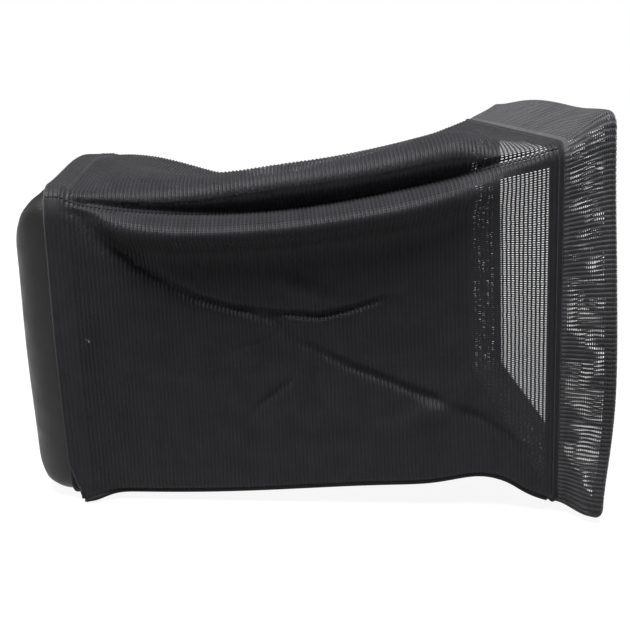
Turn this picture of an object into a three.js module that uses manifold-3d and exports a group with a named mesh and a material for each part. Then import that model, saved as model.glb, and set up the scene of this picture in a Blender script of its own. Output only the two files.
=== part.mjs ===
// Grass collection bag of a garden mower, lying on its side. Millimetres, +Z up.
// A moulded tray closes the -X end and a bent tube holds the mouth open at +X.
// Between them runs a body sewn from four panels: ribbed see-through mesh on the
// near (-Y) and top sides, dense dust cloth on the far (+Y) and bottom sides.
import * as THREE from "three";
import { mergeVertices } from "three/addons/utils/BufferGeometryUtils.js";
import Module from "manifold-3d";

const wasm = await Module();
wasm.setup();

// Driving dimensions
const BODY_LENGTH = 503; // hem plane to collar seam, along the floor
const COLLAR_LENGTH = 48; // collar seam to the tube, along the floor

const HEM_WIDTH = 394;
const HEM_HEIGHT = 317;
const HEM_CORNER = 28;
const HEM_CROWN = { near: 6, top: 11, far: 6, bottom: 0 }; // outward bow of the tray's sides
const HEM_LEAN = 2; // degrees, top away from the mouth
const HEM_TURN = 3; // degrees, far side away from the mouth
const HEM_BAND = 14; // width of the folded hem
const HEM_THICKNESS = 3.4;

const SEAM_WIDTH = 440;
const SEAM_HEIGHT = 363;
const SEAM_CORNER = 16;
const SEAM_LIFT = 9; // height of the collar seam above the floor
const SEAM_LEAN = 4.3; // degrees, top away from the mouth

const MOUTH_WIDTH = 468;
const MOUTH_HEIGHT = 401;
const MOUTH_CORNER = 18;
const MOUTH_CROWN = { near: 18, top: 7, far: 0, bottom: 0 }; // outward bow of the tube
const MOUTH_LEAN = 4.8;

const TUBE_DIAMETER = 10;
const TUBE_SIDES = 8;
const MOUTH_ARC_STEPS = 2; // facets on half a corner of the tube and the collar
const WRAP_STEPS = 6; // facets of the cloth round the tube
const WRAP_STEP_LIMIT = 40; // degrees, more than any of those facets turns

const CLOTH = 1.6; // thickness of one layer of cloth
const CLEARANCE = 0.3; // gap between pieces that seat on each other

const COLLAR_SEAM_STEP = 90; // length of the facets on its sides
const SEAM_BEAD = 2.6; // radius of the rolled edge of a seam
const SEAM_FIN = 11; // seam allowance that stands into the bag
const SEAM_FIN_THICKNESS = 1.4;

const TRAY_DEPTH = 38; // hem plane to the end face
const TRAY_ARC_STEPS = 3; // facets on half a corner of the tray and the hem
const TRAY_STEP = 80; // length of their facets on the sides
const TRAY_WALL = 2.6;
const TRAY_DRAFT = 2; // degrees
const TRAY_EDGE_RADIUS = 38; // side wall into the end face
const TRAY_EDGE_STEPS = 4;
const TRAY_RIM_SETBACK = 1; // rim to the mouth-side edge of the hem
const PANEL_MARGIN = 32; // end face edge to the pressed panel
const PANEL_DEPTH = 5;
const PANEL_CORNER = 18;
const GRIP_RIBS = 7;
const GRIP_RIB_WIDTH = 5;
const GRIP_RIB_HEIGHT = 3;
const GRIP_RIB_PITCH = 26;
const GRIP_RIB_INSET = 20; // panel edge to the end of a rib
const INNER_RIB_HEIGHT = 12;
const INNER_RIB_THICKNESS = 2.2;
const INNER_RIBS_UPRIGHT = 3;
const INNER_RIBS_LEVEL = 2;

const NEAR_RIBS = 26;
const TOP_RIBS = 18;
const COLLAR_RIB_PITCH = 56;
const RIB_HEIGHT = 1.1;
const RIB_SHARE = 0.62; // rib width as a share of its pitch on the see-through side

const TOP_NEAR_SAG = 24; // sag of the seam between near and top panels
const TOP_NEAR_TUCK = 24; // how far that seam is pulled into the bag
const TOP_FAR_SAG = 46;
const TOP_FAR_SAG_SHARE = 0.4; // share of the length where the far edge hangs lowest
const BOTTOM_NEAR_LIFT = 26;
const BOTTOM_NEAR_DROOP = 7; // slack beside the tray that falls to the floor
const BOTTOM_NEAR_DROOP_OUT = 9;
const BOTTOM_NEAR_PUCKER = 16; // extra lift just before the collar
const BOTTOM_NEAR_PUCKER_SHARE = 0.86;
const BOTTOM_FAR_LIFT = 10;
const BOTTOM_FAR_TUCK = 32;
const ROLL_HEIGHT = 25; // rolled fold of the near panel under its top seam
const ROLL_SHARE = 0.93;
const ROLL_REACH_SHARE = 0.05;
const BULGE_HEIGHT = 32; // roll of the top panel over the same seam
const BULGE_OUT = 38;
const BULGE_FRONT_SHARE = 0.11;
const BULGE_CREST_SHARE = 0.25;
const BULGE_END_SHARE = 0.6;
const NEAR_HOLLOW = 14; // inward sag of the near panel
const CREASE_DEPTH = 5;
const BOTTOM_RISE = 6;
const TOP_HOLLOW = 10;
const FAR_HOLLOW = 8;

const rad = THREE.MathUtils.degToRad;
const lerp = THREE.MathUtils.lerp;
const vec = (x, y, z) => new THREE.Vector3(x, y, z);
const mix = (a, b, t) => a.clone().lerp(b, t);
const range = (count, from = 0, to = 1) =>
  Array.from({ length: count + 1 }, (_, i) => lerp(from, to, i / count));
const hump = (t, centre, width) => Math.exp(-(((t - centre) / width) ** 2));

// Upright planes across the bag, leaning back by an angle and turned about Z

// A point of the plane is y across, h up the plane and a along its normal.
function plane(x, z, lean, turn = 0) {
  const turned = (v) => v.applyAxisAngle(vec(0, 0, 1), rad(turn));
  const across = turned(vec(0, 1, 0));
  const up = turned(vec(-Math.sin(rad(lean)), 0, Math.cos(rad(lean))));
  const normal = turned(vec(Math.cos(rad(lean)), 0, Math.sin(rad(lean))));
  const at = (y, h, a = 0) =>
    vec(x, 0, z).addScaledVector(across, y).addScaledVector(up, h).addScaledVector(normal, a);
  return { at, across, up, normal };
}

const hemPlane = plane(0, HEM_THICKNESS / 2, HEM_LEAN, HEM_TURN);
const seamPlane = plane(BODY_LENGTH, SEAM_LIFT, SEAM_LEAN);
const mouthPlane = plane(BODY_LENGTH + COLLAR_LENGTH, 0, MOUTH_LEAN);

// Outlines: four sides, each from the middle of one corner to the middle of the next

const SIDES = {
  near: { out: [-1, 0], along: [0, 1] },
  top: { out: [0, 1], along: [1, 0] },
  far: { out: [1, 0], along: [0, -1] },
  bottom: { out: [0, -1], along: [-1, 0] },
};
const SIDE_NAMES = Object.keys(SIDES);

const FLAT = { near: 0, top: 0, far: 0, bottom: 0 };

function outline(width, height, corner, crown = FLAT, middle = height / 2) {
  const point = (name, v) => {
    const { out, along } = SIDES[name];
    const half = out[1] ? width / 2 : height / 2;
    const reach = out[1] ? height / 2 : width / 2;
    const arc = (corner * Math.PI) / 4;
    const straight = 2 * (half - corner);
    const s = v * (straight + 2 * arc);
    let turn = 0;
    let slide = s - arc - straight / 2;
    if (s < arc) {
      turn = (s - arc) / corner;
      slide = -straight / 2;
    } else if (s > arc + straight) {
      turn = (s - arc - straight) / corner;
      slide = straight / 2;
    }
    const o = reach - corner + corner * Math.cos(turn) + crown[name] * Math.sin(Math.PI * v) ** 2;
    const t = slide + corner * Math.sin(turn);
    return {
      y: out[0] * o + along[0] * t,
      h: middle + out[1] * o + along[1] * t,
      ny: out[0] * Math.cos(turn) + along[0] * Math.sin(turn),
      nh: out[1] * Math.cos(turn) + along[1] * Math.sin(turn),
    };
  };
  // Stations round the whole outline: arcSteps on each half corner, then the side's facets.
  const loop = (arcSteps, facets) =>
    SIDE_NAMES.flatMap((name) => {
      const half = SIDES[name].out[1] ? width / 2 : height / 2;
      const straight = 2 * (half - corner);
      const share = (corner * Math.PI) / 4 / (straight + (corner * Math.PI) / 2);
      const stations = [
        ...range(arcSteps, 0, share).slice(0, -1),
        ...range(facets[name], share, 1 - share),
        ...range(arcSteps, 1 - share, 1).slice(1, -1),
      ];
      return stations.map((v) => ({ side: name, v, ...point(name, v) }));
    });
  return { point, loop };
}

// How many facets the sides of an outline take, always an even number.
function facetsOf(width, height, step) {
  const count = (length) => 2 * Math.max(1, Math.round(length / step / 2));
  const [level, upright] = [count(width), count(height)];
  return { near: upright, top: level, far: upright, bottom: level };
}

const hemOutline = outline(HEM_WIDTH, HEM_HEIGHT, HEM_CORNER, HEM_CROWN);
const seamOutline = outline(SEAM_WIDTH, SEAM_HEIGHT, SEAM_CORNER);
const HEM_FACETS = facetsOf(HEM_WIDTH, HEM_HEIGHT, TRAY_STEP);
const SEAM_FACETS = facetsOf(SEAM_WIDTH, SEAM_HEIGHT, COLLAR_SEAM_STEP);
const MOUTH_FACETS = facetsOf(MOUTH_WIDTH, MOUTH_HEIGHT, COLLAR_RIB_PITCH / 2);

// Where the tube lies in the collar. The corners of the lining stand out so that the
// flats between them clear the tube.
const LINING_RADIUS = (TUBE_DIAMETER / 2 + CLEARANCE) / Math.cos(rad(WRAP_STEP_LIMIT) / 2);
const TUBE_INSET = LINING_RADIUS + CLOTH + RIB_HEIGHT;
const tubeOutline = outline(
  MOUTH_WIDTH - 2 * TUBE_INSET,
  MOUTH_HEIGHT - 2 * TUBE_INSET,
  MOUTH_CORNER - TUBE_INSET,
  MOUTH_CROWN,
  MOUTH_HEIGHT / 2,
);

// Closed solids from lists of sections, and sheets from a surface

function solid(points, faces) {
  const position = new Float32Array(points.flatMap((p) => [p.x, p.y, p.z]));
  let volume = 0;
  for (const [a, b, c] of faces) {
    volume += points[a].dot(points[b].clone().cross(points[c]));
  }
  const index = faces.flatMap(([a, b, c]) => (volume > 0 ? [a, b, c] : [a, c, b]));
  const geometry = new THREE.BufferGeometry();
  geometry.setAttribute("position", new THREE.BufferAttribute(position, 3));
  geometry.setIndex(index);
  geometry.computeVertexNormals();
  return geometry;
}

// Sections are rings with the same number of points; a closed sweep joins last to first.
function sweep(sections, closed) {
  const n = sections[0].length;
  const points = sections.flat();
  const faces = [];
  const spans = closed ? sections.length : sections.length - 1;
  for (let i = 0; i < spans; i += 1) {
    const here = i * n;
    const next = ((i + 1) % sections.length) * n;
    for (let j = 0; j < n; j += 1) {
      const k = (j + 1) % n;
      faces.push([here + j, here + k, next + k], [here + j, next + k, next + j]);
    }
  }
  if (!closed) {
    const cap = (ring, start, flip) => {
      const middle = ring.reduce((sum, p) => sum.add(p), vec(0, 0, 0)).divideScalar(n);
      const axis = vec(0, 0, 0);
      ring.forEach((p, j) => {
        const q = ring[(j + 1) % n];
        axis.add(p.clone().sub(middle).cross(q.clone().sub(middle)));
      });
      axis.normalize();
      const right = ring[0].clone().sub(middle).projectOnPlane(axis).normalize();
      const up = axis.clone().cross(right);
      const flat = ring.map((p) => {
        const d = p.clone().sub(middle);
        return new THREE.Vector2(d.dot(right), d.dot(up));
      });
      for (const [a, b, c] of THREE.ShapeUtils.triangulateShape(flat, [])) {
        faces.push(flip ? [start + a, start + c, start + b] : [start + a, start + b, start + c]);
      }
    };
    cap(sections[0], 0, true);
    cap(sections.at(-1), (sections.length - 1) * n, false);
  }
  return solid(points, faces);
}

function normalOf(surface, u, v, outward) {
  const step = 1e-3;
  const du = surface(u + step, v).sub(surface(u - step, v));
  const dv = surface(u, v + step).sub(surface(u, v - step));
  const n = du.cross(dv).normalize();
  return n.dot(outward) < 0 ? n.negate() : n;
}

// A sheet of cloth over a grid: lift raises the outer face, open leaves a cell out.
function sheet(surface, us, trim, vs, outward, lift, open) {
  const points = [];
  const size = us.length * vs.length;
  const nodes = (face) => {
    us.forEach((u, i) => {
      vs.forEach((share) => {
        const v = lerp(trim(u), 1 - trim(u), share);
        const n = normalOf(surface, u, v, outward);
        const off = face > 0 ? CLOTH / 2 + lift(i) : -CLOTH / 2;
        points.push(surface(u, v).addScaledVector(n, off));
      });
    });
  };
  nodes(1);
  nodes(-1);
  const id = (i, j) => i * vs.length + j;
  const filled = (i, j) =>
    i >= 0 && j >= 0 && i < us.length - 1 && j < vs.length - 1 && !open(i, j);
  const faces = [];
  const wall = (a, b) => faces.push([a, b, b + size], [a, b + size, a + size]);
  for (let i = 0; i < us.length - 1; i += 1) {
    for (let j = 0; j < vs.length - 1; j += 1) {
      if (filled(i, j)) {
        const [a, b, c, d] = [id(i, j), id(i + 1, j), id(i + 1, j + 1), id(i, j + 1)];
        faces.push([a, c, b], [a, d, c]);
        faces.push([a + size, b + size, c + size], [a + size, c + size, d + size]);
        if (!filled(i, j - 1)) wall(a, b);
        if (!filled(i + 1, j)) wall(b, c);
        if (!filled(i, j + 1)) wall(c, d);
        if (!filled(i - 1, j)) wall(d, a);
      }
    }
  }
  // Points inside a gap belong to no face, so only used points are kept.
  const used = [...new Set(faces.flat())].sort((a, b) => a - b);
  const place = new Map(used.map((p, k) => [p, k]));
  return solid(used.map((p) => points[p]), faces.map((f) => f.map((p) => place.get(p))));
}

// The four long seams of the body

const bodyStart = (o) => hemPlane.at(o.y, o.h, HEM_BAND + CLEARANCE);
const bodyEnd = (o) => seamPlane.at(o.y, o.h, -(SEAM_BEAD + CLEARANCE));
const startAt = (side, v) => bodyStart(hemOutline.point(side, v));
const endAt = (side, v) => bodyEnd(seamOutline.point(side, v));

const arch = (u) => Math.sin(Math.PI * u);
const smooth = (t) => THREE.MathUtils.smoothstep(t, 0, 1);
// Falls quickly to its lowest place and climbs slowly back.
const hang = (u) =>
  u < TOP_FAR_SAG_SHARE
    ? smooth(u / TOP_FAR_SAG_SHARE)
    : 1 - ((u - TOP_FAR_SAG_SHARE) / (1 - TOP_FAR_SAG_SHARE)) ** 2;
const pucker = (u) => hump(u, BOTTOM_NEAR_PUCKER_SHARE, 0.09) * smooth((1 - u) / 0.1);
const droop = (u) => hump(u, 0.04, 0.05) * smooth(u / 0.03);

const SEAM_STATIONS = NEAR_RIBS / 2;

// A seam runs straight between its stations, and so do the pieces that meet it.
function faceted(place) {
  const stations = range(SEAM_STATIONS).map(place);
  return (u) => {
    const s = THREE.MathUtils.clamp(u, 0, 1) * SEAM_STATIONS;
    const i = Math.min(Math.floor(s), SEAM_STATIONS - 1);
    return mix(stations[i], stations[i + 1], s - i);
  };
}
const edge = (side, shift) =>
  faceted((u) => mix(startAt(side, 0), endAt(side, 0), u).add(shift(u)));
const edges = {
  near: edge("near", (u) =>
    vec(0, 0, BOTTOM_NEAR_LIFT * arch(u) * u ** 1.2 + BOTTOM_NEAR_PUCKER * pucker(u)),
  ),
  top: edge("top", (u) => vec(0, TOP_NEAR_TUCK * arch(u), -TOP_NEAR_SAG * arch(u))),
  far: edge("far", (u) => vec(0, 0, -TOP_FAR_SAG * hang(u))),
  bottom: edge("bottom", (u) => vec(0, -BOTTOM_FAR_TUCK * arch(u), BOTTOM_FAR_LIFT * arch(u))),
};
// The slack at the tray only moves the cloth close to the seam.
const slack = faceted((u) =>
  vec(0, -BOTTOM_NEAR_DROOP_OUT, -BOTTOM_NEAR_DROOP).multiplyScalar(droop(u)),
);
const seamLine = (name, u) => (name === "near" ? edges.near(u).add(slack(u)) : edges[name](u));

// Panels: a patch between two seams, the hem and the collar seam, with its folds

// Creases of the near panel: route in shares of its length and height, half width as a
// share and depth as a share of CREASE_DEPTH, less than 0 where the cloth stands out.
const CREASES = [
  { route: [[0.07, 0.9], [0.17, 0.78], [0.3, 0.68], [0.4, 0.62]], reach: 0.05, depth: 1 },
  { route: [[0.4, 0.64], [0.6, 0.6], [0.7, 0.66]], reach: 0.05, depth: 0.8 },
  { route: [[0.4, 0.62], [0.58, 0.42], [0.7, 0.33], [0.95, 0.12]], reach: 0.05, depth: 0.9 },
  { route: [[0.6, 0.18], [0.86, 0.28]], reach: 0.06, depth: -0.9 },
  { route: [[0.3, 0.14], [0.58, 0.16]], reach: 0.06, depth: -0.7 },
];
function crease(u, v, { route, reach, depth }) {
  let nearest = Infinity;
  let along = 0;
  for (let k = 0; k < route.length - 1; k += 1) {
    const [from, to] = [route[k], route[k + 1]];
    const [du, dv] = [to[0] - from[0], to[1] - from[1]];
    const t = ((u - from[0]) * du + (v - from[1]) * dv) / (du * du + dv * dv);
    const held = THREE.MathUtils.clamp(t, 0, 1);
    const off = Math.hypot(u - from[0] - held * du, v - from[1] - held * dv);
    if (off < nearest) {
      nearest = off;
      along = (k + held) / (route.length - 1);
    }
  }
  return -depth * Math.exp(-((nearest / reach) ** 2)) * Math.sin(Math.PI * lerp(0.1, 0.9, along));
}

const relief = {
  near: (u, v) =>
    -NEAR_HOLLOW * arch(u) * arch(v) +
    ROLL_HEIGHT * smooth(4 * u) * smooth(3 * (1 - u)) * hump(v, ROLL_SHARE, ROLL_REACH_SHARE) +
    CREASE_DEPTH * CREASES.reduce((sum, fold) => sum + crease(u, v, fold), 0) * arch(v),
  top: (u, v) => -TOP_HOLLOW * arch(u) * arch(v),
  far: (u, v) => -FAR_HOLLOW * arch(u) * arch(v),
  bottom: (u, v) => -BOTTOM_RISE * arch(u) * arch(v),
};

const SEAM_SHARE = (SEAM_BEAD + CLEARANCE) / HEM_WIDTH; // the panel starts beside its seam

// The top panel rolls over its near seam: it stands out steeply, then rises to a crest.
function bulge(u, v) {
  const grow = smooth(u / 0.48) * smooth((1 - u) / 0.22);
  const climb = (end) => {
    const share = THREE.MathUtils.clamp((v - SEAM_SHARE) / (end - SEAM_SHARE), 0, 1);
    return Math.sin((Math.PI / 2) * share);
  };
  const fall = (from) => smooth((BULGE_END_SHARE - v) / (BULGE_END_SHARE - from));
  const out = climb(BULGE_FRONT_SHARE) ** 0.8 * fall(BULGE_FRONT_SHARE);
  const rise = climb(BULGE_CREST_SHARE) ** 1.2 * fall(BULGE_CREST_SHARE);
  return vec(0, -BULGE_OUT * out, BULGE_HEIGHT * rise).multiplyScalar(grow);
}

// How much of the slack reaches a panel, over the width of the hem's corner.
const SLACK_REACH = { near: 0.12, bottom: 0.058 };
const slackShare = {
  near: (v) => Math.max(0, 1 - v / SLACK_REACH.near) ** 2,
  top: () => 0,
  far: () => 0,
  bottom: (v) => Math.max(0, 1 - (1 - v) / SLACK_REACH.bottom) ** 2,
};

function panelSurface(name) {
  const next = SIDE_NAMES[(SIDE_NAMES.indexOf(name) + 1) % SIDE_NAMES.length];
  const { out } = SIDES[name];
  const outward = vec(0, out[0], out[1]);
  const surface = (u, v) => {
    const across = mix(startAt(name, v), endAt(name, v), u);
    const along = mix(edges[name](u), edges[next](u), v);
    const corners = mix(
      mix(edges[name](0), edges[next](0), v),
      mix(edges[name](1), edges[next](1), v),
      u,
    );
    const fade = Math.min(1, 8 * v, 22 * (1 - v));
    const point = across
      .add(along)
      .sub(corners)
      .addScaledVector(outward, relief[name](u, v) * fade)
      .addScaledVector(slack(u), slackShare[name](v));
    return name === "top" ? point.add(bulge(u, v)) : point;
  };
  const span = (u) => edges[name](u).distanceTo(edges[next](u));
  const trim = (u) => (SEAM_BEAD + CLEARANCE) / span(u);
  return { surface, outward, trim };
}

// A ribbed panel takes three columns a rib: up, down and the flat or gap beside it.
// Rows are shares of its height, and a gap fills the rows between two of them.
const NEAR_ROWS = [0, 0.05, 0.14, 0.3, 0.46, 0.54, 0.7, 0.84, 0.89, 0.93, 0.965, 1];
const NEAR_GAPS = [[0.14, 0.46], [0.54, 0.84]];
const TOP_ROWS = [0, 0.02, 0.05, 0.09, 0.14, 0.2, 0.28, 0.4, 0.6, 0.8, 1];
const TOP_GAPS = [[0.05, 0.2], [0.28, 0.6], [0.6, 0.8]];

function ribbedPanel(name, ribs, rows, gaps, gapEvery) {
  const { surface, outward, trim } = panelSurface(name);
  const us = range(ribs - 1, 0, 1 - 1 / ribs).flatMap((u) =>
    [0, RIB_SHARE / 2, RIB_SHARE].map((share) => u + share / ribs),
  );
  us.push(1);
  const lift = (i) => (i % 3 === 1 ? RIB_HEIGHT : 0);
  const open = (i, j) => {
    const rib = Math.floor(i / 3);
    const share = (rows[j] + rows[j + 1]) / 2;
    const beside = i % 3 === 2 && rib > 0 && rib < ribs - 1 && rib % gapEvery === 0;
    return beside && gaps.some(([low, high]) => share > low && share < high);
  };
  return sheet(surface, us, trim, rows, outward, lift, open);
}
const nearPanel = () => ribbedPanel("near", NEAR_RIBS, NEAR_ROWS, NEAR_GAPS, 1);
const topPanel = () => ribbedPanel("top", TOP_RIBS, TOP_ROWS, TOP_GAPS, 2);

function densePanel(name) {
  const { surface, outward, trim } = panelSurface(name);
  const rows = [0, 0.07, 0.16, 0.38, 0.62, 0.84, 0.93, 1];
  return sheet(surface, range(SEAM_STATIONS), trim, rows, outward, () => 0, () => false);
}

// A rolled edge with the seam allowance standing into the bag

function seamSection(centre, inward, across) {
  const half = SEAM_FIN_THICKNESS / 2;
  const at = (i, a) => centre.clone().addScaledVector(inward, i).addScaledVector(across, a);
  const bead = range(4, rad(70), rad(290)).map((angle) =>
    at(SEAM_BEAD * Math.cos(angle), SEAM_BEAD * Math.sin(angle)),
  );
  const root = Math.sqrt(SEAM_BEAD ** 2 - half ** 2);
  return [...bead, at(root, -half), at(SEAM_FIN, -half), at(SEAM_FIN, half), at(root, half)];
}

function longSeam(name) {
  const corner = seamOutline.point(name, 0);
  const inward = vec(0, -corner.ny, -corner.nh).normalize();
  const across = vec(1, 0, 0).cross(inward);
  const sections = range(SEAM_STATIONS).map((u) => seamSection(seamLine(name, u), inward, across));
  return sweep(sections, false);
}

function collarSeam() {
  const sections = seamOutline.loop(MOUTH_ARC_STEPS, SEAM_FACETS).map((o) => {
    const inward = vec(0, -o.ny, 0).addScaledVector(seamPlane.up, -o.nh);
    return seamSection(seamPlane.at(o.y, o.h), inward, seamPlane.normal);
  });
  return sweep(sections, true);
}

function hemBand() {
  const half = HEM_THICKNESS / 2;
  const nose = HEM_THICKNESS / 4;
  const profile = [
    [-half, nose], [-half, HEM_BAND - nose], [0, HEM_BAND],
    [half, HEM_BAND - nose], [half, nose], [0, 0],
  ];
  const sections = hemOutline.loop(TRAY_ARC_STEPS, HEM_FACETS).map((o) =>
    profile.map(([out, a]) => hemPlane.at(o.y + o.ny * out, o.h + o.nh * out, a)),
  );
  return sweep(sections, true);
}

// Tube frame of the mouth, and the doubled collar that is folded over it

function mouthFrame() {
  const sections = tubeOutline.loop(MOUTH_ARC_STEPS, MOUTH_FACETS).map((o) =>
    range(TUBE_SIDES).slice(0, -1).map((share) => {
      const out = (TUBE_DIAMETER / 2) * Math.cos(2 * Math.PI * share);
      const a = (TUBE_DIAMETER / 2) * Math.sin(2 * Math.PI * share);
      return mouthPlane.at(o.y + o.ny * out, o.h + o.nh * out, a);
    }),
  );
  return sweep(sections, true);
}

function collar() {
  const outer = LINING_RADIUS + CLOTH;
  const spread = CLOTH / 2 + CLEARANCE;
  const stations = tubeOutline.loop(MOUTH_ARC_STEPS, MOUTH_FACETS);
  const sections = stations.map((o, i) => {
    const rib = i % 2 ? RIB_HEIGHT : 0;
    const from = seamOutline.point(o.side, o.v);
    const root = seamPlane.at(from.y, from.h, SEAM_BEAD + CLEARANCE);
    const rootOut = vec(0, from.ny, 0).addScaledVector(seamPlane.up, from.nh);
    const rootAt = (d) => root.clone().addScaledVector(rootOut, d);
    const hub = mouthPlane.at(o.y, o.h);
    const hubOut = vec(0, o.ny, 0).addScaledVector(mouthPlane.up, o.nh);
    const wrap = (radius, angle) =>
      hub.clone()
        .addScaledVector(hubOut, radius * Math.sin(angle))
        .addScaledVector(mouthPlane.normal, radius * Math.cos(angle));
    // The cloth leaves the tube where a line from the seam touches it.
    const back = root.clone().sub(hub);
    const facing = Math.atan2(back.dot(hubOut), back.dot(mouthPlane.normal));
    const round = facing < 0 ? facing + 2 * Math.PI : facing;
    const spare = Math.acos(outer / back.length());
    const turns = range(WRAP_STEPS, round - spare, round + spare - 2 * Math.PI);
    const skin = turns.map((angle) => wrap(Math.sin(angle) > 0 ? outer + rib : outer, angle));
    const lining = turns.map((angle) => wrap(LINING_RADIUS, angle)).reverse();
    return [
      rootAt(spread + CLOTH / 2), ...skin, rootAt(-spread - CLOTH / 2),
      rootAt(-spread + CLOTH / 2), ...lining, rootAt(spread - CLOTH / 2),
    ];
  });
  return sweep(sections, true);
}

// Moulded tray

function toManifold(geometry) {
  const bare = geometry.clone();
  bare.deleteAttribute("normal");
  bare.deleteAttribute("uv");
  const merged = mergeVertices(bare, 1e-4);
  return new wasm.Manifold(new wasm.Mesh({
    numProp: 3,
    vertProperties: Float32Array.from(merged.attributes.position.array),
    triVerts: Uint32Array.from(merged.index.array),
  }));
}

function toGeometry(manifold) {
  const mesh = manifold.getMesh();
  const geometry = new THREE.BufferGeometry();
  geometry.setAttribute("position", new THREE.BufferAttribute(mesh.vertProperties, 3));
  geometry.setIndex(new THREE.BufferAttribute(mesh.triVerts, 1));
  geometry.computeVertexNormals();
  return geometry;
}

const TRAY_RIM = HEM_BAND - TRAY_RIM_SETBACK;
const TRAY_INSET = HEM_THICKNESS / 2 + CLEARANCE;

// The section of the tray at distance a from the hem plane, inset from the hem outline.
function traySection(inset, a) {
  const corner = Math.max(HEM_CORNER - inset, 3);
  const o = outline(HEM_WIDTH - 2 * inset, HEM_HEIGHT - 2 * inset, corner, HEM_CROWN, HEM_HEIGHT / 2);
  return o.loop(TRAY_ARC_STEPS, HEM_FACETS).map((p) => hemPlane.at(p.y, p.h, a));
}

function trayBody(wall, rim) {
  const end = -TRAY_DEPTH + wall;
  const radius = TRAY_EDGE_RADIUS - wall;
  const drafted = (a) => TRAY_INSET + wall + Math.tan(rad(TRAY_DRAFT)) * (TRAY_RIM - a);
  const sections = [traySection(drafted(rim), rim)];
  for (const angle of range(TRAY_EDGE_STEPS, 0, Math.PI / 2)) {
    const a = end + radius * (1 - Math.sin(angle));
    sections.push(traySection(drafted(a) + radius * (1 - Math.cos(angle)), a));
  }
  return toManifold(sweep(sections, false));
}

const panelInset = TRAY_INSET + TRAY_EDGE_RADIUS + PANEL_MARGIN;
const panelWidth = HEM_WIDTH - 2 * panelInset;
const panelHeight = HEM_HEIGHT - 2 * panelInset;
const PANEL_FACETS = facetsOf(panelWidth, panelHeight, panelWidth);

// The pressed panel of the end face, as a block with drafted sides.
function pressedPanel(grow, from, to) {
  const section = (a) => {
    const taper = grow + (-TRAY_DEPTH - a) * 0.4;
    return outline(panelWidth + 2 * taper, panelHeight + 2 * taper, PANEL_CORNER + grow, FLAT, HEM_HEIGHT / 2)
      .loop(TRAY_ARC_STEPS, PANEL_FACETS)
      .map((p) => hemPlane.at(p.y, p.h, a));
  };
  return toManifold(sweep([section(from), section(to)], false));
}

function bar(width, height, depth, y, h, a) {
  const geometry = new THREE.BoxGeometry(depth, width, height);
  geometry.rotateY(-rad(HEM_LEAN));
  geometry.rotateZ(rad(HEM_TURN));
  const middle = hemPlane.at(y, h, a);
  geometry.translate(middle.x, middle.y, middle.z);
  return toManifold(geometry);
}

function tray() {
  const shell = trayBody(0, TRAY_RIM);
  const floor = -TRAY_DEPTH + PANEL_DEPTH;
  const cavity = trayBody(TRAY_WALL, TRAY_RIM + CLEARANCE)
    .subtract(pressedPanel(TRAY_WALL, -TRAY_DEPTH - 1, floor + TRAY_WALL));
  let body = shell.subtract(cavity).subtract(pressedPanel(0, -TRAY_DEPTH - 1, floor));
  const middle = HEM_HEIGHT / 2;
  for (let k = 0; k < GRIP_RIBS; k += 1) {
    const y = (k - (GRIP_RIBS - 1) / 2) * GRIP_RIB_PITCH;
    const height = panelHeight - 2 * GRIP_RIB_INSET;
    const depth = GRIP_RIB_HEIGHT + TRAY_WALL / 2;
    body = body.add(bar(GRIP_RIB_WIDTH, height, depth, y, middle, floor - GRIP_RIB_HEIGHT + depth / 2));
  }
  const depth = INNER_RIB_HEIGHT + TRAY_WALL / 2;
  const seat = floor + TRAY_WALL / 2 + depth / 2;
  let ribs = null;
  const addRib = (piece) => {
    ribs = ribs ? ribs.add(piece) : piece;
  };
  for (let k = 0; k < INNER_RIBS_UPRIGHT; k += 1) {
    const y = ((k + 0.5) / INNER_RIBS_UPRIGHT - 0.5) * panelWidth;
    addRib(bar(INNER_RIB_THICKNESS, HEM_HEIGHT, depth, y, middle, seat));
  }
  for (let k = 0; k < INNER_RIBS_LEVEL; k += 1) {
    const h = middle + ((k + 0.5) / INNER_RIBS_LEVEL - 0.5) * panelHeight;
    addRib(bar(HEM_WIDTH, INNER_RIB_THICKNESS, depth, 0, h, seat));
  }
  return toGeometry(body.add(ribs.intersect(shell)));
}

// Materials and pieces

const cloth = (color, roughness) =>
  new THREE.MeshStandardMaterial({ color, roughness, metalness: 0, flatShading: true });
const mesh = (name, geometry, material) => {
  const piece = new THREE.Mesh(geometry, material);
  piece.name = name;
  return piece;
};

const ribbedMesh = cloth(0x232327, 0.85);
const denseCloth = cloth(0x1b1b1f, 0.9);
const tape = cloth(0x151518, 0.8);
const plastic = new THREE.MeshStandardMaterial({ color: 0x2a2a2b, roughness: 0.55, metalness: 0 });
const steel = new THREE.MeshStandardMaterial({ color: 0x333336, roughness: 0.4, metalness: 0.6 });

const bag = new THREE.Group();
bag.add(
  mesh("base_tray", tray(), plastic),
  mesh("hem_band", hemBand(), tape),
  mesh("near_mesh_panel", nearPanel(), ribbedMesh),
  mesh("top_mesh_panel", topPanel(), ribbedMesh),
  mesh("far_dust_panel", densePanel("far"), denseCloth),
  mesh("bottom_dust_panel", densePanel("bottom"), denseCloth),
  mesh("seam_near_bottom", longSeam("near"), tape),
  mesh("seam_near_top", longSeam("top"), tape),
  mesh("seam_far_top", longSeam("far"), tape),
  mesh("seam_far_bottom", longSeam("bottom"), tape),
  mesh("collar_seam", collarSeam(), tape),
  mesh("collar_sleeve", collar(), ribbedMesh),
  mesh("mouth_frame", mouthFrame(), steel),
);

// The origin is below the middle of the bag, on the floor.
const group = new THREE.Group();
group.add(bag);
const bounds = new THREE.Box3().setFromObject(bag);
const middle = bounds.getCenter(vec(0, 0, 0));
bag.position.set(-middle.x, -middle.y, -bounds.min.z);

export default group;
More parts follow.
